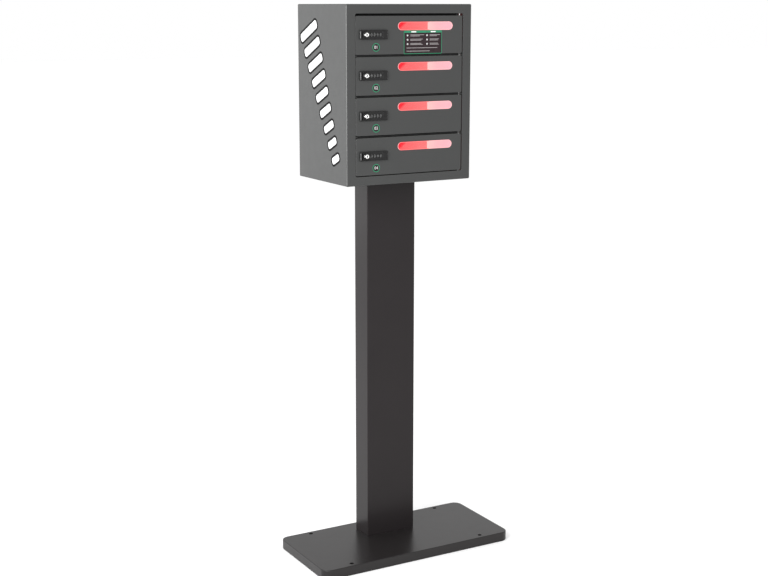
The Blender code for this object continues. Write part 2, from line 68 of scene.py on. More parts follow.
class Surface:
    """A Principled material with short names for the nodes that it is built from."""

    def __init__(self, name, **settings):
        self.material = bpy.data.materials.new(name)
        self.material.use_nodes = True
        self.tree = self.material.node_tree
        self.shader = self.tree.nodes["Principled BSDF"]
        self.coordinates = self.tree.nodes.new("ShaderNodeTexCoord").outputs["Object"]
        for socket, value in settings.items():
            self.shader.inputs[socket.replace("_", " ")].default_value = value

    def stretch(self, factors):
        """The object's coordinates, scaled along each axis, for a grain with a direction."""
        mapping = self.tree.nodes.new("ShaderNodeMapping")
        mapping.inputs["Scale"].default_value = factors
        self.tree.links.new(self.coordinates, mapping.inputs["Vector"])
        return mapping.outputs["Vector"]

    def axis(self, name):
        split = self.tree.nodes.new("ShaderNodeSeparateXYZ")
        self.tree.links.new(self.coordinates, split.inputs["Vector"])
        return split.outputs[name]

    def math(self, operation, *values):
        """A Math node whose inputs are numbers or other nodes' outputs."""
        node = self.tree.nodes.new("ShaderNodeMath")
        node.operation = operation
        for socket, value in zip(node.inputs, values):
            if isinstance(value, bpy.types.NodeSocket):
                self.tree.links.new(value, socket)
            else:
                socket.default_value = value
        return node.outputs["Value"]

    def noise(self, scale, detail=3.0, vector=None):
        node = self.tree.nodes.new("ShaderNodeTexNoise")
        node.inputs["Scale"].default_value = scale
        node.inputs["Detail"].default_value = detail
        self.tree.links.new(vector or self.coordinates, node.inputs["Vector"])
        return node.outputs["Fac"]

    def ramp(self, value, low, high, from_low=0.3, from_high=0.7):
        node = self.tree.nodes.new("ShaderNodeMapRange")
        node.inputs["From Min"].default_value = from_low
        node.inputs["From Max"].default_value = from_high
        node.inputs["To Min"].default_value = low
        node.inputs["To Max"].default_value = high
        self.tree.links.new(value, node.inputs["Value"])
        return node.outputs["Result"]

    def mix(self, value, first, second):
        """A colour between two, each a colour or another node's output."""
        node = self.tree.nodes.new("ShaderNodeMix")
        node.data_type = "RGBA"
        self.tree.links.new(value, node.inputs["Factor"])
        for socket, colour in ((node.inputs[6], first), (node.inputs[7], second)):
            if isinstance(colour, bpy.types.NodeSocket):
                self.tree.links.new(colour, socket)
            else:
                socket.default_value = (*colour, 1)
        return node.outputs[2]

    def colour(self, output):
        self.tree.links.new(output, self.shader.inputs["Base Color"])

    def roughness(self, output):
        self.tree.links.new(output, self.shader.inputs["Roughness"])

    def bump(self, height, distance, strength=1.0, under=None):
        node = self.tree.nodes.new("ShaderNodeBump")
        node.inputs["Strength"].default_value = strength
        node.inputs["Distance"].default_value = distance
        self.tree.links.new(height, node.inputs["Height"])
        if under is not None:
            self.tree.links.new(under, node.inputs["Normal"])
        self.tree.links.new(node.outputs["Normal"], self.shader.inputs["Normal"])
        return node.outputs["Normal"]


def plain_surface(name, dark, light, rough, grain, bump=0.02 * MM, **settings):
    """A colour that wanders between two tones, with a fine grain in its roughness and its relief."""
    surface = Surface(name, **settings)
    tone = surface.ramp(surface.noise(grain / 12), 0.0, 1.0)
    surface.colour(surface.mix(tone, dark, light))
    surface.roughness(surface.ramp(surface.noise(grain / 3), rough[0], rough[1]))
    surface.bump(surface.noise(grain, 2.0), bump, 0.6)
    return surface.material


def powder_coat(name, tone, roughness, ior, peel):
    """Fine orange-peel coat with a faint cloudiness and a sparse speckle."""
    surface = Surface(name, IOR=ior)
    dark = [0.96 * level for level in tone]
    light = [1.04 * level for level in tone]
    speck = [1.3 * level for level in tone]
    cloud = surface.mix(surface.ramp(surface.noise(9.0), 0.0, 1.0), dark, light)
    speckle = surface.ramp(surface.noise(2600.0, 1.0), 0.0, 0.5, 0.55, 0.75)
    surface.colour(surface.mix(speckle, cloud, speck))
    surface.roughness(surface.ramp(surface.noise(60.0), roughness[0], roughness[1]))
    broad = surface.bump(surface.noise(420.0, 1.0), 0.04 * MM * peel, 0.5)
    surface.bump(surface.noise(1500.0, 2.0), 0.02 * MM * peel, 0.5, broad)
    return surface.material


def brushed_steel(name, tone, roughness=(0.22, 0.4), direction=(60, 60, 4)):
    """Bare or plated metal with a grain that is drawn out along the axis with the smallest factor."""
    surface = Surface(name, Metallic=1.0)
    grain = surface.noise(90.0, 4.0, surface.stretch(direction))
    surface.colour(surface.mix(surface.ramp(grain, 0.0, 1.0), [0.85 * t for t in tone], tone))
    surface.roughness(surface.ramp(grain, roughness[0], roughness[1]))
    surface.bump(grain, 0.015 * MM, 0.5)
    return surface.material


PANE_IOR = 1.12
# Painted shade: the pane's left end is tinted deeper red for the shadow on the back wall seen through the
# slot.
PAINTED_SHADE_RED = (1.0, 0.24, 0.34)
PAINTED_SHADE_SLOPE = 1.2
PAINTED_SHADE_START = 15 * MM
PAINTED_SHADE_END = 23 * MM


def acrylic(name):
    """Clear strip with the slight waviness of a cut sheet, and a painted shade across its left end: a deeper
    red that stands for the shadow on the compartment's back wall seen through the slot.

    One material serves all four panes. Each pane's height is counted from its own middle, and the shade's
    edge slants with it.
    """
    surface = Surface(name, IOR=PANE_IOR, Roughness=0.03)
    surface.shader.inputs["Transmission Weight"].default_value = 1.0
    tint = surface.ramp(surface.noise(30.0), 0.0, 1.0)
    clear = surface.mix(tint, (1.0, 0.95, 0.95), (1.0, 0.98, 0.98))
    low, high = (Vector(corner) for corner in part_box("window_pane_1"))
    pitch = low.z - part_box("window_pane_2")[0][2]
    from_middle = surface.math("ADD", surface.axis("Z"), -(low.z + high.z) / 2)
    rise = surface.math("WRAP", from_middle, pitch / 2, -pitch / 2)
    # The painted shade's share: deeper red towards the pane's left end, up to an edge that slants with the
    # height.
    along = surface.math("SUBTRACT", surface.axis("X"), surface.math("MULTIPLY", rise, PAINTED_SHADE_SLOPE))
    share = surface.ramp(along, 0.0, 1.0, low.x + PAINTED_SHADE_START, low.x + PAINTED_SHADE_END)
    surface.colour(surface.mix(share, PAINTED_SHADE_RED, clear))
    surface.bump(surface.noise(70.0, 1.0), 0.01 * MM, 0.15)
    return surface.material


def lit_lens(name, colour, strength):
    """The diffuser of a light strip."""
    surface = Surface(name, Roughness=0.45)
    surface.shader.inputs["Emission Color"].default_value = (*colour, 1)
    surface.shader.inputs["Emission Strength"].default_value = strength
    tone = surface.ramp(surface.noise(400.0), 0.0, 1.0)
    surface.colour(surface.mix(tone, (0.7, 0.3, 0.3), (0.8, 0.4, 0.4)))
    surface.bump(surface.noise(900.0, 1.0), 0.02 * MM, 0.4)
    return surface.material


def painted_light_sheet(name, axis, stops, strength):
    """Painted light: a sheet that glows though it is no lamp, for a lit surface. Its glow changes colour
    along an axis, as light does away from its source.
    """
    surface = Surface(name, Roughness=0.5)
    along = surface.axis(axis)
    glow = stops[0][1]
    for (near, _), (far, colour) in zip(stops, stops[1:]):
        glow = surface.mix(surface.ramp(along, 0.0, 1.0, near, far), glow, colour)
    surface.tree.links.new(glow, surface.shader.inputs["Emission Color"])
    surface.shader.inputs["Emission Strength"].default_value = strength
    tone = surface.ramp(surface.noise(300.0), 0.0, 1.0)
    surface.colour(surface.mix(tone, (0.3, 0.1, 0.1), (0.34, 0.12, 0.12)))
    surface.bump(surface.noise(1200.0, 1.0), 0.01 * MM, 0.3)
    return surface.material


def printed(name, dark, light, rough=(0.3, 0.42), **settings):
    """A smooth printed ink or film."""
    return plain_surface(name, dark, light, rough, 1500.0, 0.01 * MM, **settings)


def grey(level):
    return (level, level, level)


COAT = powder_coat("grey_powder_coat", (0.033, 0.034, 0.0335), (0.36, 0.41), ior=1.5, peel=1.0)
BASE_COAT = powder_coat("base_powder_coat", (0.0145, 0.0128, 0.013), (0.29, 0.31), ior=1.37, peel=0.2)
COLUMN_COAT = powder_coat("column_powder_coat", (0.0182, 0.0153, 0.016), (0.28, 0.29), ior=1.27, peel=0.1)
PRIMER = plain_surface("black_primer", grey(0.02), (0.035, 0.035, 0.034), (0.5, 0.7), 400.0)
ZINC = brushed_steel("zinc_plate", (0.62, 0.62, 0.6))
CHROME = brushed_steel("key_chrome", (0.93, 0.93, 0.91), (0.14, 0.26), (20, 20, 20))
LOCK_BLACK = plain_surface("lock_enamel", grey(0.005), grey(0.009), (0.25, 0.38), 900.0, IOR=1.38)
# Lighter grey for the lock's left cheek: a painted highlight where the lock's end catches the light.
LOCK_CHEEK_PAINTED_HIGHLIGHT = plain_surface("lock_cheek_painted_highlight", grey(0.05), grey(0.07), (0.25, 0.35), 900.0)
# Near black with little reflection: painted shade, for the lock's groove and keyhole drawn as flat marks.
LOCK_PAINTED_SHADE = plain_surface("lock_painted_shade", grey(0.003), grey(0.006), (0.5, 0.65), 900.0, IOR=1.12)
DIAL_BLACK = plain_surface("dial_plastic", grey(0.012), grey(0.022), (0.35, 0.5), 1200.0)
MODULE = plain_surface("module_plastic", (0.015, 0.015, 0.016), (0.028, 0.028, 0.029), (0.45, 0.6), 1500.0)
BOARD = plain_surface("solder_mask", (0.006, 0.06, 0.022), (0.012, 0.1, 0.04), (0.3, 0.45), 300.0)
SHEET_ALUMINIUM = brushed_steel("supply_case", (0.7, 0.7, 0.71), (0.3, 0.5), (4, 60, 60))
NYLON = plain_surface("nylon", grey(0.02), grey(0.035), (0.4, 0.5), 700.0)
RUBBER = plain_surface("grommet_rubber", grey(0.009), grey(0.015), (0.7, 0.85), 900.0, IOR=1.14)
ROD_STEEL = brushed_steel("rod_steel", grey(0.16), (0.35, 0.5), (90, 90, 8))
PRINT_WHITE = printed("print_white", grey(0.82), grey(0.88))
PRINT_SILVER = printed("print_silver", (0.3, 0.28, 0.28), (0.35, 0.33, 0.33))
PRINT_GREY = printed("print_grey", grey(0.2), grey(0.26))
PRINT_BLACK = printed("print_black", grey(0.008), grey(0.014), (0.6, 0.7), IOR=1.12)
PRINT_PALE = printed("print_pale", (0.5, 0.49, 0.49), (0.56, 0.55, 0.55))
PRINT_DARK = printed("print_dark", (0.018, 0.01, 0.012), (0.026, 0.015, 0.018), (0.35, 0.45), IOR=1.3)
PRINT_GREEN = printed("print_green", (0.008, 0.17, 0.08), (0.014, 0.22, 0.11))
ACRYLIC = acrylic("clear_acrylic")
LENS = lit_lens("led_lens", (1.0, 0.12, 0.14), 3.0)

# Colours of painted light on the compartments' walls and the slots' rims, paler pink where the light falls
# strongest.
PALE_PINK = (1.0, 0.6, 0.62)
SALMON = (1.0, 0.16, 0.16)
RIM_STOPS = [(-0.03, PALE_PINK), (-0.024, SALMON), (0.048, SALMON), (0.051, PALE_PINK)]
BACK_STOPS = [(0.06, (1.0, 0.1, 0.11)), (0.15, SALMON)]
LEFT_STOPS = [(0.0, (1.0, 0.5, 0.54)), (0.12, (1.0, 0.4, 0.44))]
RIGHT_STOPS = [(0.0, (1.0, 0.52, 0.6)), (0.08, (1.0, 0.52, 0.56)), (0.12, (1.0, 0.61, 0.59))]
# The slots' rims glow as a painted highlight, paler pink at their ends.
RIM_PAINTED_HIGHLIGHT = painted_light_sheet("rim_painted_highlight", "X", RIM_STOPS, 0.85)
GLOW_BACK = painted_light_sheet("back_glow", "X", BACK_STOPS, 1.05)
GLOW_LEFT = painted_light_sheet("left_glow", "Y", LEFT_STOPS, 1.0)
GLOW_RIGHT = painted_light_sheet("right_glow", "Y", RIGHT_STOPS, 1.0)


# ---------------------------------------------------------------- shapes

FILM = 0.15 * MM
INK = 0.06 * MM
FILM_LIFT = 0.02 * MM


def new_object(name, bm, material, sharp=35):
    bmesh.ops.recalc_face_normals(bm, faces=bm.faces)
    mesh = bpy.data.meshes.new(name)
    bm.to_mesh(mesh)
    bm.free()
    mesh.materials.append(material)
    mesh.shade_smooth()
    mesh.set_sharp_from_angle(angle=math.radians(sharp))
    obj = bpy.data.objects.new(name, mesh)
    bpy.context.scene.collection.objects.link(obj)
    return obj


def soften(obj, width, segments=2, angle=50):
    """Rounds an object's hard edges and keeps its flat faces flat."""
    bevel = obj.modifiers.new("edges", "BEVEL")
    bevel.width = width
    bevel.segments = segments
    bevel.limit_method = "ANGLE"
    bevel.angle_limit = math.radians(angle)
    bevel.use_clamp_overlap = True
    normals = obj.modifiers.new("normals", "WEIGHTED_NORMAL")
    normals.keep_sharp = True
    return obj


def finish_piece(obj, body, slot, *replaced):
    """Parents a piece to the body that it moves with and hides the CAD nodes that it stands for.

    The material slot is not used.
    """
    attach(obj, body)
    if replaced:
        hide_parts(*replaced)
    return obj


def refine(node, body, slot, material, width):
    """Stands for a CAD node with the same shape, with its edges rounded as folded and coated metal is."""
    bm = bmesh.new()
    bm.from_mesh(NODES[node].data)
    bmesh.ops.remove_doubles(bm, verts=bm.verts, dist=0.01 * MM)
    bmesh.ops.dissolve_limit(bm, angle_limit=math.radians(0.5), verts=bm.verts, edges=bm.edges)
    obj = new_object(f"{node}_finished", bm, material, sharp=50)
    return finish_piece(soften(obj, width), body, slot, node)


def rounded_outline(width, height, radius, steps=5):
    """A rectangle with round corners, centred on the plane's origin."""
    points = []
    for quarter, (sx, sy) in enumerate([(1, 1), (-1, 1), (-1, -1), (1, -1)]):
        centre = (sx * (width / 2 - radius), sy * (height / 2 - radius))
        for step in range(steps + 1):
            angle = math.radians(90) * (quarter + step / steps)
            points.append((centre[0] + radius * math.cos(angle), centre[1] + radius * math.sin(angle)))
    return points


def circle_outline(radius, steps=40):
    angles = [2 * math.pi * step / steps for step in range(steps)]
    return [(radius * math.cos(angle), radius * math.sin(angle)) for angle in angles]


FACING = {
    "front": ((1, 0, 0), (0, 0, 1)),
    "back": ((-1, 0, 0), (0, 0, 1)),
    "left": ((0, -1, 0), (0, 0, 1)),
}


def facing(side, origin):
    """Flat work on one side of the object, seen upright by someone who looks at that side."""
    return place_matrix(origin, *FACING[side])


def place_matrix(origin, right, up):
    """Flat work lies in right and up. Its third axis comes out towards the viewer."""
    right = Vector(right).normalized()
    up = Vector(up).normalized()
    out = right.cross(up)
    matrix = Matrix((right, up, out)).transposed().to_4x4()
    matrix.translation = Vector(origin)
    return matrix


def plate(name, outline, low, high, matrix, material, hole=None):
    """A flat plate between two heights over the matrix's plane, with an optional hole.

    The hole has as many points as the outline.
    """
    bm = bmesh.new()
    rings = []
    for height in (low, high):
        rings.append([bm.verts.new((x, y, height)) for x, y in outline])
    count = len(outline)
    for index in range(count):
        after = (index + 1) % count
        bm.faces.new((rings[0][index], rings[0][after], rings[1][after], rings[1][index]))
    if hole is None:
        bm.faces.new(rings[1])
        bm.faces.new(list(reversed(rings[0])))
    else:
        inner = []
        for height in (low, high):
            inner.append([bm.verts.new((x, y, height)) for x, y in hole])
        for index in range(count):
            after = (index + 1) % count
            bm.faces.new((inner[0][after], inner[0][index], inner[1][index], inner[1][after]))
            bm.faces.new((rings[1][index], rings[1][after], inner[1][after], inner[1][index]))
            bm.faces.new((rings[0][after], rings[0][index], inner[0][index], inner[0][after]))
    bmesh.ops.transform(bm, matrix=matrix, verts=bm.verts)
    return new_object(name, bm, material)


def turned(name, profile, matrix, material, steps=40, sharp=35):
    """A closed turned shape about the matrix's third axis, from (radius, height) points in millimetres.

    Both ends lie on the axis, or else neither does and the profile closes on itself as a ring's does.
    """
    bm = bmesh.new()
    rings = []
    for radius, height in profile:
        if radius == 0:
            rings.append([bm.verts.new((0, 0, height * MM))])
        else:
            outline = circle_outline(radius * MM, steps)
            rings.append([bm.verts.new((x, y, height * MM)) for x, y in outline])
    pairs = list(zip(rings, rings[1:]))
    if profile[0][0] > 0:
        pairs.append((rings[-1], rings[0]))
    for first, second in pairs:
        for index in range(steps):
            after = (index + 1) % steps
            if len(first) == 1:
                bm.faces.new((first[0], second[after], second[index]))
            elif len(second) == 1:
                bm.faces.new((first[index], first[after], second[0]))
            else:
                bm.faces.new((first[index], first[after], second[after], second[index]))
    bmesh.ops.transform(bm, matrix=matrix, verts=bm.verts)
    return new_object(name, bm, material, sharp)


def add_text(bm, text, size, matrix):
    """Adds a number to a mesh, centred on the matrix's origin and standing out of its plane."""
    curve = bpy.data.curves.new("number", "FONT")
    curve.body = text
    curve.size = size
    curve.align_x = "CENTER"
    curve.align_y = "CENTER"
    curve.extrude = INK
    curve.offset = size * 0.012
    curve.resolution_u = 3
    helper = bpy.data.objects.new("number", curve)
    bpy.context.scene.collection.objects.link(helper)
    graph = bpy.context.evaluated_depsgraph_get()
    mesh = bpy.data.meshes.new_from_object(helper.evaluated_get(graph))
    mesh.transform(matrix)
    bm.from_mesh(mesh)
    bpy.data.objects.remove(helper)
    bpy.data.meshes.remove(mesh)
    bpy.data.curves.remove(curve)


# ---------------------------------------------------------------- sheet metal


def finish_sheet_metal():
    refine("cabinet_shell", "post", "powder_coat", COAT, 0.45 * MM)
    refine("back_panel", "post", "powder_coat", COAT, 0.3 * MM)
    refine("column", "post", "stand_coat", COLUMN_COAT, 0.3 * MM)
    refine("base_cover", "post", "stand_coat", BASE_COAT, 0.4 * MM)
    refine("inner_rear_wall", "post", "powder_coat", COAT, 0.3 * MM)
    for shelf in SHELVES:
        refine(f"shelf_{shelf}", "post", "powder_coat", COAT, 0.3 * MM)
    for row in ROWS:
        refine(f"door_{row}", f"door_{row}", "powder_coat", COAT, 0.45 * MM)
    for node in ("base_plate", "column_foot_flange", "column_top_plate"):
        refine(node, "post", "plate_steel", PRIMER, 0.4 * MM)


# ---------------------------------------------------------------- fasteners

# Profiles are (radius, height) in millimetres.
SCREW_HEAD = [(0, 0), (3.8, 0.0), (3.8, 0.5), (3.4, 1.4), (2.3, 2.0), (1.5, 2.1), (1.3, 0.9), (0, 0.8)]
FLAT_WASHER = [(0, 0), (7, 0), (7, 1), (0, 1)]
HEX_HEAD = [(0, 0), (5.6, 0.0), (5.6, 3.4), (4.9, 4.0), (0, 4.0)]
GROMMET = [(7.5, -1.4), (9.6, -1.4), (9.6, 0.02), (13, 0.02), (13, 1.2), (11.8, 2.4), (8.4, 2.4), (7.5, 1.6)]
BACK_SCREW_EDGE = 7 * MM
BACK_SCREW_ROWS = 4
INLET_SCREW_EDGE = 5 * MM
CABINET_BOLT = (44 * MM, 14 * MM)


def screw(name, place):
    head = turned(name, SCREW_HEAD, facing("back", place), ZINC, 24)
    finish_piece(head, "post", "steel")


def level(place):
    """Flat work that faces up."""
    return place_matrix(place, (1, 0, 0), (0, 1, 0))


def cabinet_floor():
    """The middle of the cabinet's floor over the column, where its bolts and its cable hole are."""
    low, high = corners("column_top_plate")
    place = (low + high) / 2
    place.z = corners("cabinet_shell")[0].z + CABINET_SHEET
    return place


def add_fasteners():
    low, high = corners("back_panel")
    number = 1
    for x in (low.x + BACK_SCREW_EDGE, high.x - BACK_SCREW_EDGE):
        for step in range(BACK_SCREW_ROWS):
            spacing = (high.z - low.z - 4 * BACK_SCREW_EDGE) / (BACK_SCREW_ROWS - 1)
            screw(f"back_screw_{number}", (x, high.y, low.z + 2 * BACK_SCREW_EDGE + step * spacing))
            number += 1
    low, high = corners("mains_inlet")
    for index, x in enumerate((low.x + INLET_SCREW_EDGE, high.x - INLET_SCREW_EDGE)):
        screw(f"inlet_screw_{index + 1}", (x, high.y, (low.z + high.z) / 2))

    floor = cabinet_floor()
    number = 1
    for x in (-CABINET_BOLT[0], CABINET_BOLT[0]):
        for y in (-CABINET_BOLT[1], CABINET_BOLT[1]):
            matrix = level(floor + Vector((x, y, 0)))
            washer = turned(f"cabinet_washer_{number}", FLAT_WASHER, matrix, ZINC, 28)
            finish_piece(washer, "post", "steel")
            raised = matrix @ Matrix.Translation((0, 0, 1 * MM))
            bolt = turned(f"cabinet_bolt_{number}", HEX_HEAD, raised, ZINC, 6, 30)
            finish_piece(bolt, "post", "steel")
            number += 1


def add_cable_grommet():
    """A rubber grommet lines the hole in the cabinet's floor that the supply cable comes up through."""
    grommet = turned("cable_grommet", GROMMET, level(cabinet_floor()), RUBBER, 48)
    finish_piece(grommet, "post", "grommet_rubber")


# Rubber trims, which end before the hinge rod.
# Depths are from the doors' face and half heights from the shelf's middle.
TRIM_RANGE = (-134 * MM, 127.5 * MM)
TRIM_OUTER = 0.2 * MM
TRIM_SLOT = 0.78 * MM
TRIM_DEPTH = 8 * MM
TRIM_HALF_H = 1.4 * MM
TRIM_SLOT_HALF_H = 0.77 * MM
SEAL_DEPTHS = (12.7 * MM, 13.98 * MM)
SEAL_BELOW_LIP = (8 * MM, 0.2 * MM)
LIP_BELOW_TOP = 20.3 * MM


def add_door_seals():
    """Black rubber behind the gaps: a trim on each shelf's edge and a strip on the stop over door 1."""
    across = place_matrix((0, 0, 0), (0, 1, 0), (0, 0, 1))
    front = corners("door_1")[0].y
    outer, slot, deep = (front + depth for depth in (TRIM_OUTER, TRIM_SLOT, TRIM_DEPTH))
    for shelf in SHELVES:
        centre = (corners(f"door_{shelf}")[0].z + corners(f"door_{shelf + 1}")[1].z) / 2
        under, over = centre - TRIM_HALF_H, centre + TRIM_HALF_H
        low, high = centre - TRIM_SLOT_HALF_H, centre + TRIM_SLOT_HALF_H
        channel = [(outer, under), (deep, under), (deep, low), (slot, low)]
        channel += [(slot, high), (deep, high), (deep, over), (outer, over)]
        trim = plate(f"shelf_trim_{shelf}", channel, *TRIM_RANGE, across, RUBBER)
        finish_piece(soften(trim, 0.25 * MM), "post", "grommet_rubber")
    lip = corners("cabinet_shell")[1].z - LIP_BELOW_TOP
    near, far = (front + depth for depth in SEAL_DEPTHS)
    low, high = (lip - drop for drop in SEAL_BELOW_LIP)
    strip = [(near, low), (far, low), (far, high), (near, high)]
    seal = plate("door_seal", strip, *TRIM_RANGE, across, RUBBER)
    finish_piece(soften(seal, 0.3 * MM), "post", "grommet_rubber")


WASHER_H = 1.4 * MM
WASHER_BELOW_DOOR = 1.6 * MM


def add_hinge():
    """A steel rod with a head, and a black nylon washer under each door."""
    joint = next(joint for joint in frame["joints"] if joint["name"] == "door_1_hinge")
    rod_x, rod_y, _ = joint["pos_m"]
    for row in ROWS:
        seat = corners(f"door_{row}")[0].z - WASHER_BELOW_DOOR
        ring = circle_outline(3.6 * MM)
        hole = circle_outline(2.15 * MM)
        washer = plate(f"hinge_washer_{row}", ring, 0, WASHER_H, level((rod_x, rod_y, seat)), NYLON, hole)
        finish_piece(washer, "post", "washer_nylon")
    rod_low, rod_high = corners("hinge_rod")
    length = (rod_high.z - rod_low.z) / MM
    shaft = [(0, 0), (1.6, 0), (2, 0.4), (2, length - 4)]
    head = [(3.2, length - 4), (3.2, length - 0.6), (2.6, length), (0, length)]
    rod = turned("hinge_rod_finished", shaft + head, level((rod_x, rod_y, rod_low.z)), ROD_STEEL, 32)
    finish_piece(rod, "post", "steel", "hinge_rod")


# ---------------------------------------------------------------- locks


def make_lock(row):
    """The lock's bezel rim, a cheek lighter as a painted highlight, a flat groove of painted shade, blank
    cover, knob, key cylinder and its four numbered wheels.
    """
    door = f"door_{row}"
    refine(f"lock_housing_{row}", door, "lock_black", LOCK_BLACK, 0.3 * MM)
    low, high = corners(f"lock_housing_{row}")
    width = high.x - low.x
    height = high.z - low.z
    middle = facing("front", ((low.x + high.x) / 2, low.y, (low.z + high.z) / 2))

    def detail(name, outline, bottom, top, x, material, edge=0, segments=2, hole=None):
        """A shallow plate on the bezel's face, centred at x from the bezel's middle."""
        place = middle @ Matrix.Translation((x, 0, 0))
        piece = plate(f"lock_{name}_{row}", outline, bottom, top, place, material, hole)
        if edge:
            soften(piece, edge, segments)
        finish_piece(piece, door, "lock_black")

    rim = rounded_outline(width - 0.6 * MM, height - 0.6 * MM, 1.8 * MM)
    rim_hole = rounded_outline(width - 3.4 * MM, height - 3.4 * MM, 1 * MM)
    detail("rim", rim, -0.1 * MM, 0.5 * MM, 0, LOCK_BLACK, 0.2 * MM, hole=rim_hole)
    # The cheek is lighter than the bezel: a painted highlight on the lock's left end.
    cheek = rounded_outline(2.6 * MM, height - 5 * MM, 1 * MM)
    detail("cheek", cheek, -0.1 * MM, 1.3 * MM, -width / 2 + 1.5 * MM, LOCK_CHEEK_PAINTED_HIGHLIGHT, 0.9 * MM, 4)
    # The groove is a flat near-black mark, not a cut: painted shade.
    groove_painted_shade = rounded_outline(3 * MM, height - 5 * MM, 0.8 * MM)
    detail("groove_painted_shade", groove_painted_shade, 0, 0.06 * MM, -width / 2 + 4.7 * MM, LOCK_PAINTED_SHADE)
    cover = rounded_outline(10 * MM, height - 6 * MM, 1 * MM)
    detail("cover", cover, -0.1 * MM, 0.4 * MM, width / 2 - 8 * MM, LOCK_BLACK, 0.15 * MM)
    make_knob(row, low.y)
    for dial in DIALS:
        make_dial(row, dial)


KNOB_DISC = [(8.6, 0.3), (8.6, 1.7), (8.1, 2.5), (7.5, 2.8), (7.0, 2.3), (6.4, 2.3), (6.0, 1.6), (0, 1.6)]
KEY_CYLINDER = [(0, 1.3), (4.7, 1.3), (4.7, 3.0), (4.3, 3.4), (3.0, 3.5), (2.7, 3.1), (0, 3.1)]
KEY_POINTER = [(-3.9, 2.2), (-7.3, 0.5), (-7.3, -0.5), (-3.9, -2.2)]


def make_knob(row, seat_y):
    """The turn knob on its spindle, with the key cylinder in it and the cam behind the door."""
    body = f"knob_{row}"
    low, high = corners(f"lock_knob_{row}")
    place = facing("front", ((low.x + high.x) / 2, seat_y, (low.z + high.z) / 2))
    back = (seat_y - high.y) / MM
    spindle = [(0, back), (3, back), (3, 0.3)]
    knob = turned(f"lock_knob_{row}_finished", spindle + KNOB_DISC, place, LOCK_BLACK, 48)
    finish_piece(knob, body, "lock_black", f"lock_knob_{row}")
    cylinder = turned(f"key_cylinder_{row}", KEY_CYLINDER, place, CHROME, 48)
    finish_piece(cylinder, body, "key_chrome")
    pointer = [(x * MM, y * MM) for x, y in KEY_POINTER]
    nib = plate(f"key_pointer_{row}", pointer, 1.8 * MM, 3.1 * MM, place, CHROME)
    finish_piece(soften(nib, 0.2 * MM), body, "key_chrome")
    # The keyhole is a flat near-black mark on the cylinder's face: painted shade.
    keyhole_painted_shade = rounded_outline(2.2 * MM, 4.2 * MM, 0.9 * MM)
    slot = plate(f"keyhole_{row}", keyhole_painted_shade, 3.0 * MM, 3.16 * MM, place, LOCK_PAINTED_SHADE)
    finish_piece(slot, body, "lock_black")
    refine(f"lock_cam_{row}", body, "steel", ZINC, 0.3 * MM)


NUMBERS = 10
DIAL_FLAT = 6.2 * MM
DIAL_RIDGE = 6.62 * MM
DIAL_BORE = 1.8 * MM
DIAL_FLAT_SHARE = 0.36
DIAL_RIDGE_SHARES = (0.44, 0.56)
DIGIT_SIZE = 4.4 * MM


def dial_outline():
    """Ten flats, one for each number, with a grip ridge between each two."""
    step = 2 * math.pi / NUMBERS
    flat_end = DIAL_FLAT / math.cos(DIAL_FLAT_SHARE * step)
    corner_points = [(-DIAL_FLAT_SHARE, flat_end), (DIAL_FLAT_SHARE, flat_end)]
    corner_points += [(share, DIAL_RIDGE) for share in DIAL_RIDGE_SHARES]
    points = []
    for number in range(NUMBERS):
        for share, radius in corner_points:
            angle = (number + share) * step
            points.append((radius * math.cos(angle), radius * math.sin(angle)))
    return points


def make_dial(row, dial):
    """A wheel with the digits 0 to 9. The four wheels of a lock show different ones at rest."""
    node = f"dial_{row}_{dial}"
    low, high = corners(node)
    centre = (low + high) / 2
    half = (high.x - low.x) / 2
    place = place_matrix(centre, (0, -1, 0), (0, 0, 1))
    bore = circle_outline(DIAL_BORE, 4 * NUMBERS)
    wheel = plate(f"{node}_finished", dial_outline(), -half, half, place, DIAL_BLACK, bore)
    finish_piece(soften(wheel, 0.22 * MM), node, "dial_black", node)

    bm = bmesh.new()
    shown = (3 * row + 2 * dial) % NUMBERS
    for number in range(NUMBERS):
        angle = 2 * math.pi * number / NUMBERS
        out = Vector((0, -math.cos(angle), math.sin(angle)))
        up = Vector((0, math.sin(angle), math.cos(angle)))
        matrix = place_matrix(centre + out * DIAL_FLAT, up.cross(out), up)
        add_text(bm, str((shown + number) % NUMBERS), DIGIT_SIZE, matrix)
    digits = new_object(f"{node}_numbers", bm, PRINT_GREY)
    finish_piece(digits, node, "print_film")


# ---------------------------------------------------------------- windows and lights


PANE_LAP = 6 * MM
RIM_CLEARANCE = 0.25 * MM
RIM_BAND = 0.9 * MM


def window_outline(width, height):
    """A slot with round ends, short of a full half circle so that no two of its points meet."""
    return rounded_outline(width, height, height / 2 - 0.01 * MM, 12)


def make_window(row):
    """The pane behind the slot, and a glowing rim that fills the slot's edge: a painted highlight of that
    edge in the compartment's light.
    """
    door = f"door_{row}"
    refine(f"window_pane_{row}", door, "window", ACRYLIC, 0.2 * MM)
    low, high = corners(f"window_pane_{row}")
    width = high.x - low.x - 2 * (PANE_LAP + RIM_CLEARANCE)
    height = high.z - low.z - 2 * (PANE_LAP + RIM_CLEARANCE)
    centre = ((low.x + high.x) / 2, corners(door)[0].y, (low.z + high.z) / 2)
    outer = window_outline(width, height)
    inner = window_outline(width - 2 * RIM_BAND, height - 2 * RIM_BAND)
    rim = plate(f"window_rim_{row}", outer, -1.5 * MM, 0.1 * MM, facing("front", centre), RIM_PAINTED_HIGHLIGHT, inner)
    finish_piece(soften(rim, 0.2 * MM), door, "window")


# A thin glowing sheet on a wall: painted light, not a lamp.
def painted_light_panel(name, outline, matrix, material):
    panel = plate(name, outline, 0.3 * MM, 1.3 * MM, matrix, material)
    finish_piece(soften(panel, 0.2 * MM), "post", "light")


PANEL_CLEARANCE = 1.2 * MM
PANEL_BEHIND_DOOR = 6 * MM
PANEL_BEHIND_HINGE = 56 * MM
PANEL_END = 0.35 * MM
PANEL_CORNER = 1.35 * MM


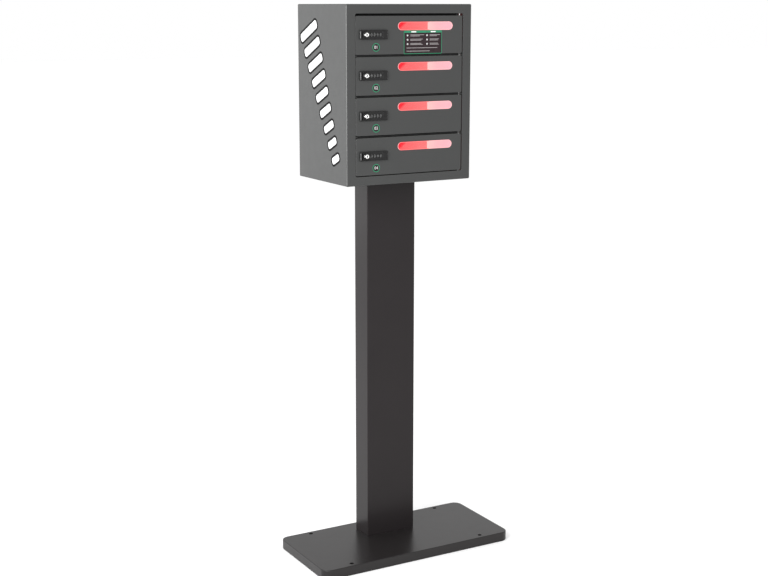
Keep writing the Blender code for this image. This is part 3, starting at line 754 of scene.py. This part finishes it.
def make_compartment_light(row):
    """Glowing panels on the walls stand for the strip's light round the compartment: painted light, not
    lamps.

    The panel on the hinge side starts further in, so that it isn't seen through the gap at the hinge.
    """
    strip_low, strip_high = corners(f"led_strip_{row}")
    module_low, module_high = corners(f"usb_module_{row}")
    shell_low, shell_high = corners("cabinet_shell")
    left = shell_low.x + CABINET_SHEET
    right = shell_high.x - CABINET_SHEET
    door_back = corners(f"door_{row}")[1].y
    front = door_back + PANEL_BEHIND_DOOR
    hinge_front = door_back + PANEL_BEHIND_HINGE
    back = corners("inner_rear_wall")[0].y
    deep = back - PANEL_CORNER
    top = strip_high.z - PANEL_CLEARANCE
    floor = corners(f"shelf_{row}")[1].z if row in SHELVES else shell_low.z + CABINET_SHEET
    bottom = floor + PANEL_CLEARANCE

    outline = [(front, bottom), (deep, bottom), (deep, top), (front, top)]
    matrix = place_matrix((left, 0, 0), (0, 1, 0), (0, 0, 1))
    painted_light_panel(f"light_panel_left_{row}", outline, matrix, GLOW_LEFT)
    outline = [(-hinge_front, bottom), (-deep, bottom), (-deep, top), (-hinge_front, top)]
    matrix = place_matrix((right, 0, 0), (0, -1, 0), (0, 0, 1))
    painted_light_panel(f"light_panel_right_{row}", outline, matrix, GLOW_RIGHT)
    outline = [
        (left + PANEL_END, bottom),
        (module_low.x - PANEL_CLEARANCE, bottom),
        (module_low.x - PANEL_CLEARANCE, module_high.z + PANEL_CLEARANCE),
        (module_high.x + PANEL_CLEARANCE, module_high.z + PANEL_CLEARANCE),
        (module_high.x + PANEL_CLEARANCE, bottom),
        (right - PANEL_END, bottom),
        (right - PANEL_END, top),
        (left + PANEL_END, top),
    ]
    matrix = place_matrix((0, back, 0), (1, 0, 0), (0, 0, 1))
    painted_light_panel(f"light_panel_back_{row}", outline, matrix, GLOW_BACK)
    make_led_strip(row, strip_low, strip_high)


CHANNEL_WALL = 1 * MM
LENS_GAP = 0.1 * MM
LENS_SLOPE = 2.5 * MM


def make_led_strip(row, low, high):
    """An aluminium channel, closed towards the door, holds the lens that lights the compartment."""
    across = place_matrix((0, 0, 0), (0, 1, 0), (0, 0, 1))
    inside = low.y + CHANNEL_WALL
    under = high.z - CHANNEL_WALL
    channel = [(low.y, high.z), (low.y, low.z), (inside, low.z)]
    channel += [(inside, under), (high.y, under), (high.y, high.z)]
    piece = plate(f"led_channel_{row}", channel, low.x, high.x, across, SHEET_ALUMINIUM)
    finish_piece(soften(piece, 0.15 * MM), "post", "supply", f"led_strip_{row}")
    front = inside + LENS_GAP
    roof = under - LENS_GAP
    lens = [(front, roof), (front, low.z), (high.y - LENS_SLOPE, low.z)]
    lens += [(high.y, low.z + LENS_SLOPE), (high.y, roof)]
    piece = plate(f"led_lens_{row}", lens, low.x + CHANNEL_WALL, high.x - CHANNEL_WALL, across, LENS)
    finish_piece(soften(piece, 0.3 * MM, angle=30), "post", "light")


SOCKET_STEP = 13 * MM
SOCKET_DEPTH = 8 * MM


def make_usb_module(row):
    """The charging outlet, with a metal shell and a white contact tongue in each of its two sockets."""
    node = f"usb_module_{row}"
    refine(node, "post", "module", MODULE, 0.6 * MM)
    low, high = corners(node)
    centre = (low + high) / 2
    outer = rounded_outline(12.5 * MM, 5.1 * MM, 0.4 * MM)
    inner = rounded_outline(11.9 * MM, 4.5 * MM, 0.3 * MM)
    bar = rounded_outline(10.6 * MM, 1.5 * MM, 0.3 * MM)
    for index, x in enumerate((centre.x - SOCKET_STEP, centre.x + SOCKET_STEP)):
        place = facing("front", (x, low.y, centre.z))
        shell = plate(f"socket_shell_{row}_{index + 1}", outer, -SOCKET_DEPTH, 0, place, CHROME, inner)
        finish_piece(shell, "post", "key_chrome")
        raised = place @ Matrix.Translation((0, 1 * MM, 0))
        tongue = plate(f"socket_tongue_{row}_{index + 1}", bar, -8.5 * MM, -1 * MM, raised, PRINT_WHITE)
        finish_piece(tongue, "post", "print_film")


# ---------------------------------------------------------------- printed films


def ink(name, outline, matrix, material, body, hole=None, layer=1):
    """A printed shape on a film, whose layers lie on each other."""
    low = FILM + (layer - 1) * INK
    piece = plate(name, outline, low, low + INK, matrix, material, hole)
    finish_piece(piece, body, "print_film")


def shifted(outline, x, y):
    return [(px + x, py + y) for px, py in outline]


BADGE_X = -87 * MM
BADGE_BELOW_TOP = 67.8 * MM
BADGE_R = 9.5 * MM
BADGE_NUMBER = 9.5 * MM
BADGE_RING = (BADGE_R - 1.9 * MM, BADGE_R - 0.2 * MM)


def make_badge(row):
    """A round number badge below the lock."""
    door = f"door_{row}"
    low, high = corners(door)
    place = facing("front", (BADGE_X, low.y, high.z - BADGE_BELOW_TOP))
    film = plate(f"badge_film_{row}", circle_outline(BADGE_R, 48), FILM_LIFT, FILM, place, PRINT_DARK)
    finish_piece(film, door, "print_film")
    hole, ring = (circle_outline(radius, 48) for radius in BADGE_RING)
    ink(f"badge_ring_{row}", ring, place, PRINT_GREEN, door, hole)
    bm = bmesh.new()
    add_text(bm, f"0{row}", BADGE_NUMBER, place @ Matrix.Translation((0, 0, FILM + INK)))
    finish_piece(new_object(f"badge_number_{row}", bm, PRINT_PALE), door, "print_film")


# The notice, in its own plane: x from its middle and y up from it.
NOTICE_SIZE = (99 * MM, 51.8 * MM)
NOTICE_X = 33 * MM
NOTICE_BELOW_TOP = 57.7 * MM
NOTICE_CORNER = 1.5 * MM
NOTICE_BORDER = 1.3 * MM
HEADER_H = 4.2 * MM
COLUMNS = [(-40 * MM, 36 * MM), (10.5 * MM, 27 * MM)]
COLUMN_LINES = 3
LINE_TOP = 14.8 * MM
LINE_PITCH = 9.4 * MM
BAR_H = 1.1 * MM
BAR_CORNER = 0.5 * MM
BAR_RISE = 1.2 * MM
FOOT_BARS = [80 * MM, 60 * MM]
FOOT_LEFT = -42.5 * MM
FOOT_TOP = -12.6 * MM
FOOT_PITCH = 7 * MM


def notice_bar(name, place, left, length, y):
    bar = shifted(rounded_outline(length, BAR_H, BAR_CORNER), left + length / 2, y)
    ink(name, bar, place, PRINT_SILVER, "door_1")


def make_notice():
    """A plain notice with no words: a header, three rows of a dot and two bars in two columns, and a foot."""
    low, high = corners("door_1")
    width, height = NOTICE_SIZE
    place = facing("front", (NOTICE_X, low.y, high.z - NOTICE_BELOW_TOP))
    outline = rounded_outline(width, height, NOTICE_CORNER)
    film = plate("notice_film", outline, FILM_LIFT, FILM, place, PRINT_DARK)
    finish_piece(film, "door_1", "print_film")
    inner = rounded_outline(width - 2 * NOTICE_BORDER, height - 2 * NOTICE_BORDER, 0.8 * MM)
    ink("notice_border", outline, place, PRINT_GREEN, "door_1", inner)
    header_y = height / 2 - NOTICE_BORDER - HEADER_H / 2 + 0.2 * MM
    header = shifted(rounded_outline(width - 2 * NOTICE_BORDER, HEADER_H, 0.5 * MM), 0, header_y)
    ink("notice_header", header, place, PRINT_GREEN, "door_1")
    for column, (x, longest) in enumerate(COLUMNS):
        mark = shifted(rounded_outline(13 * MM, 2.2 * MM, 1 * MM), x + 16 * MM, header_y)
        ink(f"notice_heading_{column + 1}", mark, place, PRINT_WHITE, "door_1", layer=2)
        for line in range(COLUMN_LINES):
            y = LINE_TOP - line * LINE_PITCH
            name = f"{column + 1}_{line + 1}"
            dot = shifted(circle_outline(2 * MM, 20), x, y)
            ink(f"notice_dot_{name}", dot, place, PRINT_PALE, "door_1")
            bar_left = x + 7 * MM
            notice_bar(f"notice_bar_{name}_1", place, bar_left, longest * (1 - 0.1 * line), y + BAR_RISE)
            notice_bar(f"notice_bar_{name}_2", place, bar_left, longest * (0.7 + 0.1 * line), y - BAR_RISE)
    for line, length in enumerate(FOOT_BARS):
        notice_bar(f"notice_foot_{line + 1}", place, FOOT_LEFT, length, FOOT_TOP - line * FOOT_PITCH)


# The side's bars: how many, where the first and last are, and their length and thickness from top to bottom.
SIDE_BARS = 9
SIDE_FIRST = (-62 * MM, 138 * MM)
SIDE_LAST = (66 * MM, -142 * MM)
SIDE_LENGTHS = (86 * MM, 34 * MM)
SIDE_THICKNESSES = (19 * MM, 15 * MM)
SIDE_EDGE = (5.2 * MM, 1 * MM)


def make_side_graphic():
    """A slanting row of plain charge bars, longest at the top, on the cabinet's left side."""
    low, high = corners("cabinet_shell")
    middle = facing("left", (low.x, (low.y + high.y) / 2, (low.z + high.z) / 2))
    first = Vector(SIDE_FIRST)
    last = Vector(SIDE_LAST)
    along = (last - first).normalized()
    turn = math.atan2(along.y, along.x) + math.radians(90)
    for index in range(SIDE_BARS):
        share = index / (SIDE_BARS - 1)
        place = first.lerp(last, share)
        length, thick = (top + (bottom - top) * share for top, bottom in (SIDE_LENGTHS, SIDE_THICKNESSES))
        matrix = middle @ Matrix.Translation((place.x, place.y, 0)) @ Matrix.Rotation(turn, 4, "Z")
        outer, inner = (
            rounded_outline(length + 2 * edge, thick + 2 * edge, thick / 3 + edge) for edge in SIDE_EDGE
        )
        ring = plate(f"side_bar_edge_{index + 1}", outer, FILM_LIFT, FILM, matrix, PRINT_BLACK, inner)
        finish_piece(ring, "post", "print_film")
        outline = rounded_outline(length, thick, thick / 3)
        bar = plate(f"side_bar_{index + 1}", outline, FILM_LIFT, FILM, matrix, PRINT_WHITE)
        finish_piece(bar, "post", "print_film")


# ---------------------------------------------------------------- service bay


INLET_WELL_DEPTH = 16 * MM
INLET_PINS = [(-7 * MM, -2 * MM), (0, 2 * MM), (7 * MM, -2 * MM)]
PIN_LENGTH = 8.8 * MM


def finish_service_bay():
    refine("power_supply", "post", "supply", SHEET_ALUMINIUM, 0.5 * MM)
    refine("control_board", "post", "board", BOARD, 0.2 * MM)
    refine("mains_inlet", "post", "module", MODULE, 0.6 * MM)
    low, high = corners("mains_inlet")
    centre = (low + high) / 2
    outline = rounded_outline(2.3 * MM, 4.3 * MM, 0.3 * MM)
    for index, (x, z) in enumerate(INLET_PINS):
        place = facing("back", (centre.x + x, high.y - INLET_WELL_DEPTH, centre.z + z))
        pin = plate(f"inlet_contact_{index + 1}", outline, 0, PIN_LENGTH, place, CHROME)
        finish_piece(soften(pin, 0.3 * MM), "post", "key_chrome")


# ---------------------------------------------------------------- stage


CAMERA_PLACE = (-1.5773, -2.729, 1.2826)
CAMERA_AZIMUTH = -29.53
CAMERA_ELEVATION = 11.61
CAMERA_LENS = 64.34
SENSOR = 36


def add_camera():
    data = bpy.data.cameras.new("camera")
    data.lens = CAMERA_LENS
    data.sensor_width = SENSOR
    camera = bpy.data.objects.new("camera", data)
    camera.location = CAMERA_PLACE
    camera.rotation_euler = (math.radians(90 - CAMERA_ELEVATION), 0, math.radians(CAMERA_AZIMUTH))
    bpy.context.scene.collection.objects.link(camera)
    bpy.context.scene.camera = camera


def add_light(name, place, target, size, power):
    """A rectangular area light that the camera doesn't see."""
    data = bpy.data.lights.new(name, "AREA")
    data.shape = "RECTANGLE"
    data.size, data.size_y = size
    data.energy = power
    light = bpy.data.objects.new(name, data)
    light.location = place
    aim = Vector(target) - Vector(place)
    light.rotation_euler = aim.to_track_quat("-Z", "Y").to_euler()
    light.visible_camera = False
    bpy.context.scene.collection.objects.link(light)
    return light


FLOOR_HALF = 30.0
FLOOR_GLOW = 0.17


def add_floor():
    surface = Surface("pale_floor", Roughness=0.9)
    surface.colour(surface.mix(surface.ramp(surface.noise(2.0), 0.0, 1.0), grey(0.82), grey(0.84)))
    surface.shader.inputs["Emission Color"].default_value = (1, 1, 1, 1)
    surface.shader.inputs["Emission Strength"].default_value = FLOOR_GLOW
    bm = bmesh.new()
    outline = [(-1, -1), (1, -1), (1, 1), (-1, 1)]
    bm.faces.new([bm.verts.new((x * FLOOR_HALF, y * FLOOR_HALF, 0)) for x, y in outline])
    floor = new_object("floor", bm, surface.material)


def add_studio():
    """White surroundings, a key light, one for the side wall, and a glint on the cabinet's near edge."""
    world = bpy.data.worlds.new("studio")
    world.use_nodes = True
    background = world.node_tree.nodes["Background"]
    background.inputs["Color"].default_value = (1, 1, 1, 1)
    background.inputs["Strength"].default_value = 1.0
    bpy.context.scene.world = world
    bpy.context.scene.view_settings.view_transform = "Standard"

    add_light("key", (-2.2, -1.25, 1.7), (0, 0.05, 0.9), (1.2, 1.6), 60)
    add_light("side_wall", (-1.2, 2.0, 1.12), (-0.16, 0.05, 1.12), (2.6, 1.36), 8.4)
    glint = add_light("corner_glint", (-1.12, -0.6, 1.09), (-0.16, -0.06, 1.09), (2.4, 0.9), 41)
    glint.visible_diffuse = False


finish_sheet_metal()
add_fasteners()
add_cable_grommet()
add_door_seals()
add_hinge()
for row in ROWS:
    make_lock(row)
    make_window(row)
    make_compartment_light(row)
    make_usb_module(row)
    make_badge(row)
make_notice()
make_side_graphic()
finish_service_bay()
add_camera()
add_floor()
add_studio()
